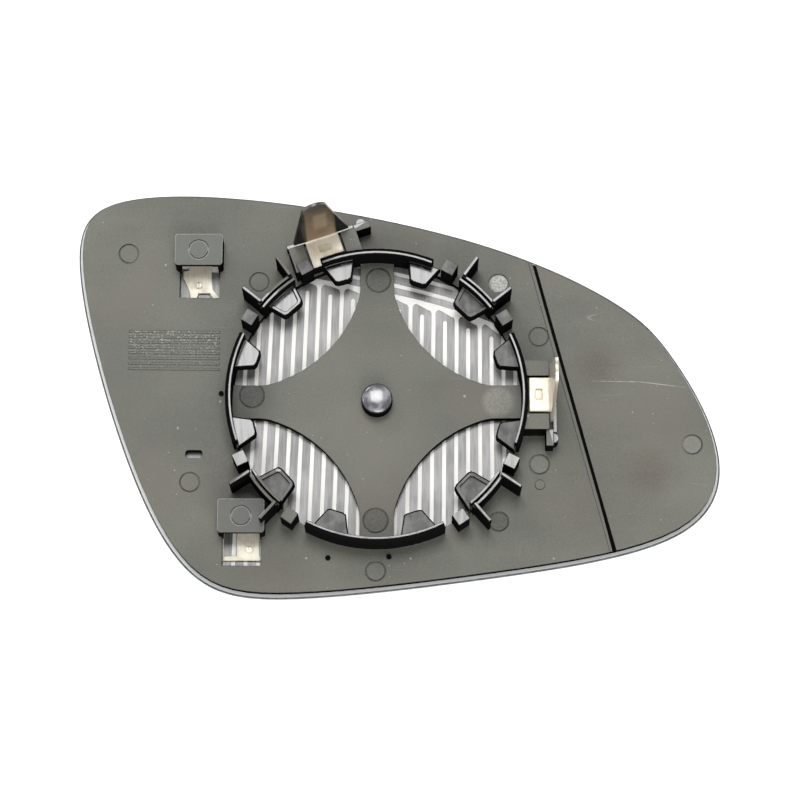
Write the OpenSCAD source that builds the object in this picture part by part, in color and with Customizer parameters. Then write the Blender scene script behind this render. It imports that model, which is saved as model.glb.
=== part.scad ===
// Heated aspheric door mirror glass, lying face down with its backing plate upwards.
// The origin is under the middle of the outline, at the lowest point of the convex glass.

/* [Glass] */
// Overall width of the glass
glass_w = 170; // [150:1:190]
// Overall height of the glass
glass_h = 110; // [98:1:124]
// Thickness of the glass
glass_t = 2; // [1.6:0.1:3]
// Spherical radius of the main mirror zone
glass_r = 1300; // [1000:50:2000]
// Distance of the split line from the clip ring's axis
split_d = 50; // [46:1:58]
// Angle of the direction across the split line
split_angle = 14.5; // [8:0.5:20]

/* [Heater] */
// Thickness of the heater's carrier foil
film_t = 0.2; // [0.1:0.05:0.4]
// Thickness of the etched heater track
track_t = 0.15; // [0.1:0.05:0.3]
// Distance between neighbouring gaps of the heater track
track_pitch = 3.14; // [2.8:0.02:3.6]
// Width of a gap in the heater track
gap_w = 1.05; // [0.8:0.05:1.3]
// Lean of the upright gap nearest the middle
track_lean = 1.1; // [0:0.1:3]
// How much less each upright gap leans, for each millimetre further to the right
track_fan = 0.04; // [0:0.01:0.06]
// Sideways place of the first upright gap, from the ring's axis
track_start = 2.2; // [0:0.1:3]
// Depth from the outline to the gap that the upright ones hang from
bus_depth = 20.4; // [19:0.2:22]
// Width of the gap that the upright ones hang from
bus_w = 1.7; // [1.2:0.1:2]
// Corner radius of the heater track
track_round = 1; // [0.5:0.1:1]
// Number of heater lines that run along the top edge
edge_lines = 3; // [1:1:4]

/* [Backing plate] */
// Thickness of the backing plate
plate_t = 2.5; // [2:0.1:3.5]
// Rim of glass that shows round the plate
rim_w = 1.2; // [0.8:0.1:2.5]
// Rim of plate that shows round the heater foil
film_inset = 2; // [1:0.5:5]
// Width of the groove over the split line
groove_w = 0.8; // [0.6:0.1:1.6]
// Depth of the groove over the split line
groove_d = 0.8; // [0.4:0.1:1.4]
// Radius of the round ejector marks
mark_r = 2.7; // [2:0.1:3.2]
// Depth of the round ejector marks
mark_d = 0.2; // [0.1:0.05:0.5]
// Radius of the raised locating pin
pin_r = 1.3; // [1:0.1:1.6]
// Height of the ribs on the ribbed patch
rib_h = 0.12; // [0.08:0.02:0.3]
// Length of the small oblong hole
hole_l = 4.4; // [3:0.1:6]
// Width of the small oblong hole
hole_w = 2.2; // [1.6:0.1:3]
// Width of the raised strip beside the groove
strip_w = 0.9; // [0.6:0.1:2]

/* [Clip ring] */
// Outer radius of the clip ring
ring_r = 39.7; // [38.7:0.1:40.7]
// Wall of the clip ring
ring_wall = 1.5; // [1.2:0.1:2]
// Height of the clip ring over the plate's middle
ring_h = 10; // [8:0.5:12]
// Lead-in chamfer round the ring's outer edge
lead_in = 0.9; // [0.4:0.1:1]
// Ring axis, sideways from the middle of the outline
ring_x = -5.2; // [-7:0.1:-3]
// Ring axis, upwards from the middle of the outline
ring_y = -2.5; // [-4:0.1:-1]
// Half the angle of the break in the ring at each clip
break_angle = 21.5; // [20.5:0.5:22.5]
// Height of the guide fins over the plate's middle
fin_h = 12; // [10.5:0.5:14]
// Reach of the guide fins from the ring's axis
fin_reach = 45.2; // [43:0.1:46]
// Thickness of a guide fin
fin_t = 0.8; // [0.6:0.1:1.4]
// Half the angle between the two fins of a clip
fin_angle = 7.7; // [7:0.1:9]
// Half the angle of the slotted wall between the fins of a clip
clip_angle = 8.6; // [8.2:0.1:10]
// Width of the slot in the top of a clip's wall
slot_w = 0.6; // [0.4:0.1:0.8]
// Depth of the slot in the top of a clip's wall
slot_d = 3; // [1:0.5:5]
// Half the angle between the two blocks of a clip
block_angle = 14.6; // [14:0.1:15.5]
// Width of a clip's block
block_w = 3.4; // [3:0.1:4]
// Depth of the tabs inside the ring
tab_depth = 5.4; // [4:0.2:5.4]
// Width of the tabs at the ring
tab_w = 9; // [7.5:0.1:9.4]
// Thickness of the tabs
tab_t = 3.2; // [2:0.2:4]
// Bevel round the top of a tab
tab_bevel = 0.4; // [0.2:0.1:0.8]
// Height of the tabs over the plate's middle
tab_h = 5.6; // [4.5:0.1:8]
// Height of the two lowest tabs over the plate's middle
low_tab_h = 9.7; // [6:0.1:9.8]
// Depth of the recess in a wide tab
recess_d = 0.8; // [0.4:0.1:1.2]

/* [Web] */
// Width of an arm of the four-armed web
arm_w = 9; // [8:0.2:10.4]
// Distance of each window's inner edge from the ring's axis, along the diagonal
waist = 19.2; // [17:0.2:21]
// Radius of each window's inner edge
window_r = 34.5; // [32:0.5:38]
// Radius of each window's corners beside the arms
window_fillet = 10.6; // [8:0.2:12]
// Radius of the centre boss
boss_r = 4.1; // [3:0.1:6]
// Height of the centre boss over the plate's middle
boss_h = 5; // [4.5:0.5:8]
// Height of the boss's rounded top
boss_dome = 0.8; // [0.4:0.1:1]
// Radius of the round gate marks on the arms
gate_r = 3.4; // [2.8:0.1:3.8]

/* [Terminal covers] */
// Height of the cover boxes over the plate
cover_h = 6.2; // [5:0.1:8]
// Wall of the cover boxes
cover_wall = 1.3; // [1:0.1:1.6]
// Corner radius of the cover boxes
cover_corner = 0.8; // [0.6:0.1:1.6]
// Thickness of the terminals' sheet metal
sheet_t = 0.8; // [0.6:0.1:1]
// Radius of the terminals' rivets
rivet_r = 0.9; // [0.7:0.1:1.2]

/* [Contact blades] */
// Height of the blade tips over the plate's middle
blade_h = 37; // [25:1:45]
// Width of a blade at its foot
blade_foot = 15.2; // [13:0.1:16]
// Width of a blade at its tip
blade_tip = 6.3; // [4.8:0.1:8]
// Distance of the blades from the ring's axis
blade_r = 45.3; // [44.9:0.1:46]
// Width of the blade's flat foot
foot_w = 9; // [8:0.1:10]
// Length of the blade's flat foot, inwards from the blade
foot_l = 5.3; // [4.6:0.1:5.3]
// How far the top blade's tip leans to the left
top_lean = 1.2; // [0:0.1:2]
// Height of the blade holders over the plate's middle
holder_h = 8.6; // [7:0.1:9.5]
// Width of a blade holder
holder_w = 18.6; // [17.4:0.1:20]
// Azimuth of the top blade
top_azimuth = 109; // [107:0.5:111]

/* [Hidden] */
$fn = 96;

// Closed cubic spline of the outline: hand-placed control points, before they are sized
OUTLINE = [
    [83, -41], [88.5, -15], [73, 12.5], [63, 24], [27.5, 42.5], [-32, 55],
    [-80.5, 56], [-89, 40], [-73.5, -16.5], [-55.5, -53], [-31.5, -56.5], [26, -49.5],
];
SPAN_STEPS = 8;
far = 150;
tall = 32;
root = 1.2;
film_z = glass_t;
track_z = film_z + film_t;
under_z = track_z + track_t;
back_z = under_z + plate_t;
rim_z = back_z + ring_h;
ring_in = ring_r - ring_wall;
STATIONS = [133.5, 46.3, -41.7, -139.5];
SMALL_TABS = [105.5, 161.5, 71, 18.3, -15.4, -166];
LOW_TABS = [-73.4, -108];
// Wide tabs: azimuth and depth
WIDE_TABS = [[132.5, 6], [46.3, 6], [-44.5, 7], [-138, 7]];
MARKS = [
    [133.7, 45.5], [45, 45.8], [22.4, 46.5], [-21.7, 46], [-45.4, 45.4], [-90.3, 45.5],
    [-156, 53.7], [148.7, 77.6], [-8.3, 83.7],
];

// Middle of the small oblong hole
HOLE = [-53.3, -16.8];
// Small raised pins: place and radius
PINS = [[37.6, -25, pin_r], [-17.9, -44.5, pin_r / 2], [-2, -44.2, pin_r / 2], [-46.4, -0.3, pin_r / 2]];
// Round gate marks on the arms: azimuth and distance from the ring's axis
GATES = [[89.4, 33.5], [177, 33.1], [-90.5, 32]];

// The spline and what follows from it
function spline(P, i, t) =
    let (n = len(P), a = P[i % n], b = P[(i + 1) % n], c = P[(i + 2) % n], d = P[(i + 3) % n])
    (pow(1 - t, 3) * a + (3 * t * t * t - 6 * t * t + 4) * b
        + (3 * t + 3 * t * t - 3 * t * t * t + 1) * c + t * t * t * d) / 6;
raw_outline = [for (i = [0:len(OUTLINE) - 1]) for (k = [0:SPAN_STEPS - 1]) spline(OUTLINE, i, k / SPAN_STEPS)];
raw_low = [for (k = [0, 1]) min([for (p = raw_outline) p[k]])];
raw_high = [for (k = [0, 1]) max([for (p = raw_outline) p[k]])];
outline = [for (p = raw_outline) [
    ((p[0] - raw_low[0]) / (raw_high[0] - raw_low[0]) - 0.5) * glass_w,
    ((p[1] - raw_low[1]) / (raw_high[1] - raw_low[1]) - 0.5) * glass_h,
]];
function unit(v) = v / norm(v);
function inward(P, i) =
    let (n = len(P), t = unit(P[(i + 1) % n] - P[(i + n - 1) % n])) [-t[1], t[0]];
function inset(d) = [for (i = [0:len(outline) - 1]) outline[i] + d * inward(outline, i)];
// Points of the top edge, from right to left, between the two upper corners
top_edge = [for (i = [0:len(outline) - 1]) if (outline[i][1] > 0 && abs(outline[i][0]) < 0.41 * glass_w) i];
function top_line(d) = [for (i = top_edge) outline[i] + d * inward(outline, i)];
low_edge = [for (i = [0:len(outline) - 1]) if (outline[i][1] < 0 && abs(outline[i][0]) < 0.41 * glass_w) i];
function low_line(d) = [for (i = low_edge) outline[i] + d * inward(outline, i)];
function ring_sag(x, y) = glass_r - sqrt(glass_r * glass_r - pow(x - ring_x, 2) - pow(y - ring_y, 2));
function plate_top(x, y) = back_z + ring_sag(x, y);

// The space over the mirror surface, raised by t
module above(t) translate([ring_x, ring_y, glass_r]) rotate([90, 0, 0]) sphere(r = glass_r - t, $fn = 256);

// A sheet that follows the mirror surface, from t0 to t1 over it, d inside the outline
module layer(t0, t1, d) {
    difference() {
        intersection() {
            above(t0);
            translate([0, 0, -1]) linear_extrude(tall) polygon(inset(d));
        }
        above(t1);
    }
}

module at_ring(azimuth) translate([ring_x, ring_y, 0]) rotate([0, 0, azimuth]) children();

// A block in the ring's frame: from r0 to r1 outwards, w wide about v, from down below the plate's middle up to z
module ring_block(r0, r1, w, z, v = 0, down = root) {
    translate([r0, v - w / 2, back_z - down]) cube([r1 - r0, w, z - back_z + down]);
}

module sector(a0, a1, r) polygon(concat([[0, 0]], [for (k = [0:8]) let (a = a0 + (a1 - a0) * k / 8) r * [cos(a), sin(a)]]));

module mirror_glass() color("lightsteelblue") layer(0, film_z, 0);

module heater_film() color("white") layer(film_z, track_z, rim_w + film_inset);

// A gap along the top edge, d inside the outline and w wide
module edge_gap(d, w) {
    a = top_line(d - w / 2);
    b = top_line(d + w / 2);
    polygon(concat(a, [for (i = [len(b) - 1:-1:0]) b[i]]));
}

// Place along an upright gap: k counts the gaps, s is -1 on its left side and 1 on its right
function gap_x(k) = ring_x + track_start + k * track_pitch;
function gap_at(k, s, y) = gap_x(k) + s * gap_w / 2 + (y - ring_y) * tan(track_lean - track_fan * gap_x(k));
function bus_y(x) = lookup(x, [for (p = top_line(bus_depth + bus_w / 2)) p]);
function foot_y(x) = lookup(x, low_line(rim_w + film_inset));

// The gap under the edge lines, with every second upright gap hanging from it
module hanging_gaps(n) {
    upper = top_line(bus_depth - bus_w / 2);
    polygon(concat(upper, [for (k = [-n:2:n]) each let (y = bus_y(gap_x(k)), r = track_round, foot = foot_y(gap_x(k)) + track_pitch)
        concat([for (a = [90, 45, 0]) [gap_at(k, -1, y) - r + r * cos(a), y - r + r * sin(a)]],
            [[gap_at(k, -1, foot), foot], [gap_at(k, 1, foot), foot]],
            [for (a = [180, 135, 90]) [gap_at(k, 1, y) + r + r * cos(a), y - r + r * sin(a)]])]));
}

// An upright gap that rises from the heater's lower edge and ends round, under the hanging ones
module rising_gap(k) {
    foot = foot_y(gap_x(k)) - track_pitch;
    top = bus_y(gap_x(k)) - (track_pitch - gap_w) - gap_w / 2;
    mid = (gap_at(k, -1, top) + gap_at(k, 1, top)) / 2;
    polygon(concat([[gap_at(k, -1, foot), foot], [gap_at(k, 1, foot), foot]],
        [for (a = [0:45:180]) [mid + gap_w / 2 * cos(a), top + gap_w / 2 * sin(a)]]));
}

module heater_track() color("silver") {
    n = 2 * floor(0.145 * glass_w / track_pitch);
    difference() {
        layer(track_z, under_z, rim_w + film_inset + gap_w);
        translate([0, 0, -1]) linear_extrude(tall) {
            for (k = [1:edge_lines]) edge_gap(bus_depth - k * track_pitch, gap_w);
            hanging_gaps(n);
            for (k = [1 - n:2:n]) rising_gap(k);
        }
    }
}

// One of the four windows between the arms, as an outline in the first quarter
function arc(c, r, a0, a1, n) = [for (k = [0:n]) let (a = a0 + (a1 - a0) * k / n) c + r * [cos(a), sin(a)]];
module window_shape() {
    m = (waist + window_r) / sqrt(2);
    h = arm_w / 2;
    fy = h + window_fillet;
    fx = m - sqrt(pow(window_r - window_fillet, 2) - pow(fy - m, 2));
    turn = atan2(fy - m, fx - m) + 360;
    intersection() {
        polygon(concat(
            [[ring_r, h]],
            arc([fx, fy], window_fillet, 270, turn, 4),
            arc([m, m], window_r, turn, 450 - turn, 12),
            arc([fy, fx], window_fillet, 450 - turn, 180, 4),
            [[h, ring_r], [ring_r, ring_r]]));
        circle(r = ring_in);
    }
}

module windows() {
    at_ring(0) for (q = [0:3]) rotate(90 * q) translate([0, 0, -1]) linear_extrude(back_z + 3) window_shape();
}

// The ring's wall, with a lead-in chamfer round its outer edge, broken at the four clips
module ring_wall_arcs() {
    low = back_z - root;
    at_ring(0) difference() {
        rotate_extrude() polygon([[ring_in, low], [ring_r, low], [ring_r, rim_z - lead_in],
            [ring_r - lead_in, rim_z], [ring_in, rim_z]]);
        for (s = STATIONS) translate([0, 0, low - 2]) linear_extrude(ring_h + root + 4)
            sector(s - break_angle, s + break_angle, ring_r + 5);
    }
}

// A clip: a slotted wall between two guide fins, with a block on either side
module clip(s) {
    low = back_z - root - 0.3;
    inner = ring_in - 0.5;
    leaf = (ring_r - inner - slot_w) / 2;
    at_ring(0) intersection() {
        rotate_extrude() polygon([[inner, low], [ring_r, low], [ring_r, rim_z], [ring_r - leaf, rim_z],
            [ring_r - leaf, rim_z - slot_d], [inner + leaf, rim_z - slot_d], [inner + leaf, rim_z], [inner, rim_z]]);
        translate([0, 0, low - 2]) linear_extrude(ring_h + root + 4) sector(s - clip_angle, s + clip_angle, ring_r + 5);
    }
    for (side = [-1, 1]) {
        at_ring(s + side * fin_angle) ring_block(ring_r - 0.6, fin_reach, fin_t, back_z + fin_h, down = root + 0.1);
        at_ring(s + side * block_angle) ring_block(ring_in - 0.4, ring_r + 1.4, block_w, rim_z - 0.6, down = root - 0.1);
    }
}

// A tab that reaches in from the ring, narrower and round-cornered inside, with a recess in its top or none
module tab(s, w, depth, top, share, recess) {
    in0 = ring_in - depth;
    half = share * w / 2;
    corner = [[in0 + 1.2, half], [in0 + 0.35, half - 0.35], [in0, half - 1.2]];
    edge = concat(corner, [for (k = [2:-1:0]) [corner[k][0], -corner[k][1]]]);
    at_ring(s) difference() {
        union() {
            translate([0, 0, top - tab_t]) linear_extrude(tab_t - tab_bevel)
                polygon(concat([[ring_in + 0.5, w / 2]], edge, [[ring_in + 0.5, -w / 2]]));
            translate([ring_in, 0, top - tab_bevel])
                linear_extrude(tab_bevel, scale = [1 - tab_bevel / depth, 1 - 2 * tab_bevel / w], slices = 1, $fn = 3)
                    polygon(concat([[0.3, w / 2]], [for (p = edge) [p[0] - ring_in, p[1]]], [[0.3, -w / 2]]));
        }
        if (recess > 0) translate([0, 0, top - recess]) linear_extrude(recess + 1)
            polygon([[ring_in - 0.9, w / 2 - 1.5], [in0 + 1.6, half - 1.1], [in0 + 1.1, half - 1.6],
                [in0 + 1.1, 1.6 - half], [in0 + 1.6, 1.1 - half], [ring_in - 0.9, 1.5 - w / 2]]);
    }
}

// A shallow round line in the plate's back
module round_mark(m, r) {
    x = ring_x + m[1] * cos(m[0]);
    y = ring_y + m[1] * sin(m[0]);
    translate([x, y, plate_top(x, y) - mark_d]) difference() {
        cylinder(r = r, h = 3);
        translate([0, 0, -1]) cylinder(r = r - 0.3, h = 5);
    }
}

// Covers: place of each box's middle, its size, and the depth of the window in front of it
COVERS = [[-52.5, 37.4, 12.6, 8.6, 7.2], [-40.4, -34.5, 12.2, 9, 7.6]];
function cover_top(c) = plate_top(c[0], c[1]) + cover_h;

module rounded(w, h, r) {
    translate([r - w / 2, -h / 2]) square([w - 2 * r, h]);
    translate([-w / 2, r - h / 2]) square([w, h - 2 * r]);
    for (x = [-1, 1], y = [-1, 1]) translate([x * (w / 2 - r), y * (h / 2 - r)]) circle(r = r, $fn = 32);
}

module cover_box(c) {
    top = cover_top(c);
    translate([c[0], c[1], back_z]) difference() {
        linear_extrude(top - back_z) rounded(c[2], c[3], cover_corner);
        translate([0, 0, top - back_z - mark_d]) difference() {
            cylinder(r = mark_r, h = 3);
            translate([0, 0, -1]) cylinder(r = mark_r - 0.3, h = 5);
        }
    }
}

module cover_space(c) {
    top = cover_top(c);
    translate([c[0] - c[2] / 2 + cover_wall, c[1] - c[3] / 2 - 1, 0])
        cube([c[2] - 2 * cover_wall, c[3] + 1 - cover_wall, top - cover_wall]);
    translate([c[0] - c[2] / 2 + 1, c[1] - c[3] / 2 - c[4], 0]) cube([c[2] - 2, c[4] + 0.01, top]);
}

// A holder for a blade: two plateaus beside the blade's foot, a back rib and a round post
module holder(azimuth) {
    top = back_z + holder_h;
    side = (holder_w - foot_w - 1.2) / 2;
    back = blade_r + sheet_t;
    at_ring(azimuth) {
        for (v = [-1, 1]) ring_block(ring_in, blade_r - 0.2, side, top, v * (holder_w - side) / 2);
        ring_block(ring_in + 0.4, blade_r - 0.4, holder_w - side, top - sheet_t - 1.6);
        ring_block(back + 0.2, back + 1.2, holder_w, top - 4);
        ring_block(blade_r - 0.6, back + 0.6, holder_w - 2, top - 6);
        ring_block(blade_r - 1, back + 0.1, 4.4, top - 1, -holder_w / 2 - 2);
        translate([back + 0.2, -holder_w / 2 - 2, back_z - root]) cylinder(r = 1.3, h = top - 1.8 - back_z + root);
    }
}

// A patch of low ribs that follow the plate's back
module rib_patch() {
    intersection() {
        difference() {
            above(back_z - 0.3);
            above(back_z + rib_h);
        }
        translate([-71, 6, 0]) linear_extrude(20) for (k = [0:7]) translate([0, 1.45 * k]) square([24, 0.6]);
    }
}

module backing_plate() color("dimgray") {
    difference() {
        union() {
            difference() {
                layer(under_z, back_z, rim_w);
                windows();
                for (m = MARKS) round_mark(m, mark_r);
                for (m = GATES) round_mark(m, gate_r);
                translate([HOLE[0], HOLE[1], 0]) linear_extrude(tall) rounded(hole_l, hole_w, 0.8);
                intersection() {
                    at_ring(split_angle) translate([split_d - groove_w / 2, -far, 0]) cube([groove_w, 2 * far, tall]);
                    above(back_z - groove_d);
                }
            }
            ring_wall_arcs();
            for (s = STATIONS) clip(s);
            for (t = WIDE_TABS) tab(t[0], tab_w + 1, t[1], back_z + tab_h + 0.4, 0.7, recess_d);
            for (s = SMALL_TABS) tab(s, tab_w, tab_depth, back_z + tab_h, 0.58, 0);
            for (s = LOW_TABS) tab(s, tab_w + 1, tab_depth, back_z + low_tab_h, 0.58, 0);
            at_ring(0) translate([0, 0, back_z - root]) rotate_extrude() polygon(concat([[0, 0]],
                    [[boss_r, 0]], [for (k = [0:10:40]) [boss_r * cos(k), boss_h + root - boss_dome * (1 - sin(k) / sin(40))]],
                    [[0, boss_h + root]]));
            for (c = COVERS) cover_box(c);
            rib_patch();
            intersection() {
                layer(back_z - 0.3, back_z + rib_h, rim_w);
                at_ring(split_angle) translate([split_d - groove_w / 2 - strip_w, -far, 0]) cube([strip_w, 2 * far, tall]);
            }
            for (a = [0, top_azimuth]) holder(a);
            for (p = PINS) translate([p[0], p[1], back_z - root]) cylinder(r = p[2], h = root + 1.2);
        }
        for (c = COVERS) cover_space(c);
    }
}

// A blade of bent sheet: a flat foot that reaches to the ring, and a tall tapered tongue whose tip may lean aside
module contact_blade(azimuth, leg, lean) {
    z = back_z + holder_h - sheet_t;
    tip_z = back_z + blade_h;
    tip_r = 0.53 * blade_tip;
    arc_z = tip_z - 0.35 * blade_tip;
    at_ring(azimuth) {
        difference() {
            union() {
                translate([blade_r - foot_l, -foot_w / 2, z]) cube([foot_l + sheet_t, foot_w, sheet_t]);
                if (leg) translate([blade_r - foot_l - 1.8, foot_w / 2 - 2.2, z]) cube([3, 2, sheet_t]);
            }
            translate([blade_r - 3.7, -1.6, z - 1]) cube([1.8, 3.2, sheet_t + 2]);
        }
        translate([blade_r, 0, 0]) rotate([90, 0, 90]) linear_extrude(sheet_t) {
            polygon([[-foot_w / 2, z], [foot_w / 2, z], [foot_w / 2, z + sheet_t], [blade_foot / 2, z + sheet_t + 0.4],
                [lean + blade_tip / 2, arc_z], [lean - blade_tip / 2, arc_z], [-blade_foot / 2, z + sheet_t + 0.4],
                [-foot_w / 2, z + sheet_t]]);
            intersection() {
                translate([lean, tip_z - tip_r]) circle(r = tip_r);
                translate([lean - blade_tip / 2, arc_z - 0.2]) square([blade_tip, blade_tip]);
            }
        }
    }
}

module top_contact_blade() color("wheat") contact_blade(top_azimuth, true, top_lean);
module right_contact_blade() color("wheat") contact_blade(0, false, 0);

function film_top(x, y) = track_z + ring_sag(x, y) + track_t;

module upper_left_terminal() color("wheat") {
    c = COVERS[0];
    translate([c[0], c[1] - c[3] / 2, film_top(c[0], c[1] - c[3] / 2 - 3)]) linear_extrude(sheet_t)
        polygon([[-4.6, -1.2], [-4.6, 0.6], [-3, 1], [-3, 4.5], [3, 4.5], [3, -1.4], [3.4, -4.4], [5.2, -6.8], [3.3, -7],
            [2.6, -5.5], [-0.4, -5.5], [-0.9, -7], [-2.6, -7], [-3, -4.6]]);
}

module lower_left_terminal() color("wheat") {
    c = COVERS[1];
    half = c[2] / 2 - 1.2;
    inside = c[2] / 2 - cover_wall - 0.2;
    translate([c[0], c[1] - c[3] / 2, film_top(c[0], c[1] - c[3] / 2 - 3)]) linear_extrude(sheet_t)
        polygon([[-1.4, 5], [inside, 5], [inside, -4.6], [half, -4.8], [half, -6], [-half, -6], [-half, -4.8], [-1.4, -4.6]]);
}

module rivet(c, x, y) {
    translate([c[0] + x, c[1] - c[3] / 2 + y, film_top(c[0], c[1] - c[3] / 2 - 3) + sheet_t]) {
        cylinder(r = rivet_r, h = 0.3);
    }
}

module upper_left_rivet() color("gainsboro") rivet(COVERS[0], -0.4, -3.4);
module lower_left_rivet() color("gainsboro") rivet(COVERS[1], 1.9, -3);

mirror_glass();
heater_film();
heater_track();
backing_plate();
top_contact_blade();
right_contact_blade();
upper_left_terminal();
lower_left_terminal();
upper_left_rivet();
lower_left_rivet();
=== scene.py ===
"""Heated door mirror glass, lying face down, dressed around its CAD model."""

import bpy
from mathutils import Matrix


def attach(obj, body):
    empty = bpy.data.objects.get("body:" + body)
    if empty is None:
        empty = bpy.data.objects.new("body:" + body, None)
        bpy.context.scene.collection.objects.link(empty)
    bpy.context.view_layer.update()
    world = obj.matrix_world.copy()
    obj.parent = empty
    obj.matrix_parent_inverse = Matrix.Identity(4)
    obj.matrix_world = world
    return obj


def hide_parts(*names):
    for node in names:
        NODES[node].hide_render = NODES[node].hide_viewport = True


bl_info = {
    "name": "Heated door mirror glass",
    "version": (1, 0, 0),
    "blender": (4, 5, 0),
    "location": "View3D > Sidebar > Mirror glass",
    "description": "Dresses a heated door mirror glass and its backing plate around the packed CAD model",
    "category": "Object",
}

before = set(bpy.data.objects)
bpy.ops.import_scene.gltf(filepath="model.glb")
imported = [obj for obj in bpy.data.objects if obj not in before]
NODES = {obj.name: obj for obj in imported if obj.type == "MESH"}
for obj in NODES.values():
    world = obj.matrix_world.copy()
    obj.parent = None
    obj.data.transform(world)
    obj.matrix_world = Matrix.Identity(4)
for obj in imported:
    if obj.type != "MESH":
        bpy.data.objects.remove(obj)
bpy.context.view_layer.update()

import math

import bmesh
import bpy
import numpy as np
from bpy.props import FloatProperty, FloatVectorProperty, PointerProperty
from bpy.types import Operator, Panel, PropertyGroup
from mathutils import Vector

MM = 0.001
# Sizes are in millimetres, unless their comment says otherwise
# The clip ring's axis, and the height of the plate's back there
RING, BACK_Z = np.array([-5.2, -2.5]), 4.85
# The groove over the split line: its distance from the ring's axis, and the direction of that distance
SPLIT_D, SPLIT_ANGLE = 50.0, math.radians(14.5)
# The glass's width, height and thickness, and the radius of its sphere
GLASS_W, GLASS_H, GLASS_T, GLASS_R = 170.0, 110.0, 2.0, 1300.0
# Control points of the outline's closed cubic spline, before it is sized
OUTLINE = np.array(
    [[83, -41], [88.5, -15], [73, 12.5], [63, 24], [27.5, 42.5], [-32, 55]]
    + [[-80.5, 56], [-89, 40], [-73.5, -16.5], [-55.5, -53], [-31.5, -56.5], [26, -49.5]]
)


def colour(text):
    """An sRGB hex colour as linear RGBA."""
    parts = [int(text[i : i + 2], 16) / 255 for i in (0, 2, 4)]
    linear = [c / 12.92 if c <= 0.04045 else ((c + 0.055) / 1.055) ** 2.4 for c in parts]
    return (*linear, 1.0)


def tint(name, text, words):
    """A colour property with its default given in hex."""
    return FloatVectorProperty(
        name=name, description=words, default=colour(text), subtype="COLOR", size=4, min=0, max=1
    )


def length(name, default, words):
    """A length property whose default is given in millimetres."""
    return FloatProperty(
        name=name, description=words, default=default * MM, min=0, subtype="DISTANCE", unit="LENGTH"
    )


class PlateSettings(PropertyGroup):
    """The moulded backing plate"""

    # The flats' grey is partly painted sheen: black ABS lightened to stand in for the wide sheen of its grain
    flat: tint("Flats", "686960", "Colour of the spark-eroded flats")
    wall: tint("Walls", "121212", "Colour of the polished walls and tabs")
    grain: length("Grain", 0.45, "Width of a grain of the spark-eroded texture")
    edge: length("Edge", 0.2, "Radius of the edges of the flats")


class GlassSettings(PropertyGroup):
    """The mirror glass"""

    mirror: tint("Mirror", "eef0f1", "Colour of the silvered face")
    rim: tint("Rim", "f2f4f4", "Colour of the glass's back and cut edge")
    bevel: length("Bevel", 0.45, "Width of the ground bevel along both edges")


class HeaterSettings(PropertyGroup):
    """The heater's foil and track"""

    foil: tint("Foil", "fbfaf4", "Colour of the carrier foil between the tracks")
    track: tint("Track", "8e8d8d", "Colour of the etched track")


class ContactSettings(PropertyGroup):
    """The contact blades and the terminals"""

    blade: tint("Blade", "ece6d6", "Colour of the tin-plated blades")
    terminal: tint("Terminal", "f1ebd8", "Colour of the tinned terminals")
    round_edge: length("Edge", 0.12, "Radius of the stamped edges")


class StageSettings(PropertyGroup):
    """The floor, the lamps and the camera"""

    floor: tint("Floor", "d9d9d9", "Colour of the floor under the part")
    elevation: FloatProperty(
        name="Elevation",
        description="Camera's height over the horizon",
        default=math.radians(76),
        subtype="ANGLE",
    )
    distance: length("Distance", 750, "Camera's distance from the part")
    lamp: FloatProperty(
        name="Lamp", description="Power by which every lamp is set", default=5.0, min=0, subtype="POWER"
    )


GROUPS = {
    "mirror_plate": PlateSettings,
    "mirror_glass": GlassSettings,
    "mirror_heater": HeaterSettings,
    "mirror_contacts": ContactSettings,
    "mirror_stage": StageSettings,
}


def settings(name):
    """One group of the scene's settings."""
    return getattr(bpy.context.scene, name)


def put(tree, socket, value):
    """Links an output to an input, or sets the input to a plain value."""
    if isinstance(value, bpy.types.NodeSocket):
        tree.links.new(value, socket)
    else:
        socket.default_value = value


def node(tree, kind, links=(), **values):
    """Adds a shader node, sets its attributes or its inputs, and links its inputs from the given outputs."""
    n = tree.nodes.new(kind)
    for key, value in values.items():
        if key in n.bl_rna.properties:
            setattr(n, key, value)
        else:
            n.inputs[key.replace("_", " ")].default_value = value
    for key, source in dict(links).items():
        tree.links.new(source, n.inputs[key])
    return n


def material(name):
    """An empty node material with its shader and output already joined."""
    m = bpy.data.materials.new(name)
    m.use_nodes = True
    tree = m.node_tree
    tree.nodes.clear()
    shader = node(tree, "ShaderNodeBsdfPrincipled")
    out = node(tree, "ShaderNodeOutputMaterial", {"Surface": shader.outputs[0]})
    out.location.x = 400
    return m, tree, shader


def finish(tree, shader, **inputs):
    """Links or sets the shader's inputs by name."""
    for key, value in inputs.items():
        put(tree, shader.inputs[key.replace("_", " ")], value)


def maths(tree, operation, a, b=0.0):
    """One Math node on two outputs or numbers."""
    n = node(tree, "ShaderNodeMath", operation=operation)
    put(tree, n.inputs[0], a)
    put(tree, n.inputs[1], b)
    return n.outputs[0]


def product(tree, first, *others):
    """The product of outputs or numbers."""
    for other in others:
        first = maths(tree, "MULTIPLY", first, other)
    return first


def weighed(tree, *parts):
    """The sum of outputs, each times its weight."""
    shares = [product(tree, value, weight) for value, weight in parts]
    total = shares[0]
    for share in shares[1:]:
        total = maths(tree, "ADD", total, share)
    return total


def band(tree, value, low, high, start=0.0, end=1.0):
    """Maps low..high of a value smoothly onto start..end."""
    limits = {"From_Min": low, "From_Max": high, "To_Min": start, "To_Max": end}
    n = node(tree, "ShaderNodeMapRange", {"Value": value}, interpolation_type="SMOOTHSTEP", **limits)
    return n.outputs[0]


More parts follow.
